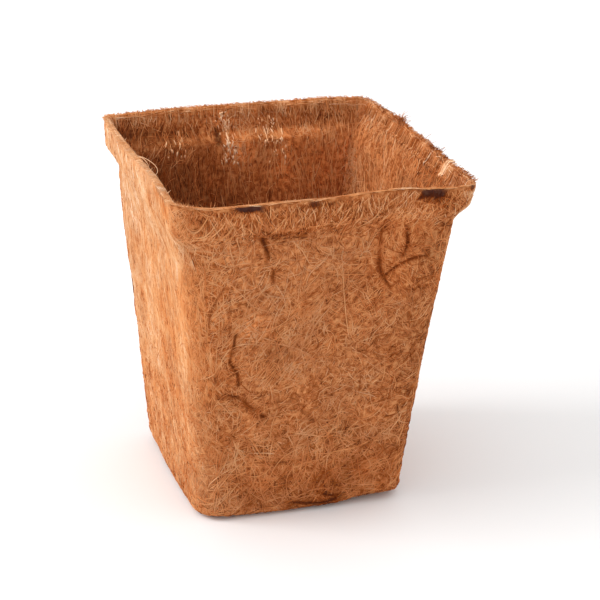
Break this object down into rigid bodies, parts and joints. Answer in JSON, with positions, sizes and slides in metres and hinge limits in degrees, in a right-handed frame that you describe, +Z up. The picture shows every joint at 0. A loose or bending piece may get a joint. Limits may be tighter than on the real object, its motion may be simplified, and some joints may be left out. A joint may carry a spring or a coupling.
{
  "type": "coir pot",
  "caption": "Square tapered planting pot of latexed coir felt with a stepped collar, lapped wall blanks and a dished base with a drain hole.",
  "frame": {"origin": "centre of the underside, on the surface that the pot stands on", "axes": "+Z up through the mouth, -Y out of the front wall, +X out of the right wall"},
  "size_m": [0.13, 0.13, 0.15],
  "materials": {
    "coir_felt": "matte"
  },
  "bodies": {
    "root": {"front_wall": "coir_felt", "right_wall": "coir_felt", "back_wall": "coir_felt", "left_wall": "coir_felt", "base": "coir_felt"}
  },
  "joints": []
}
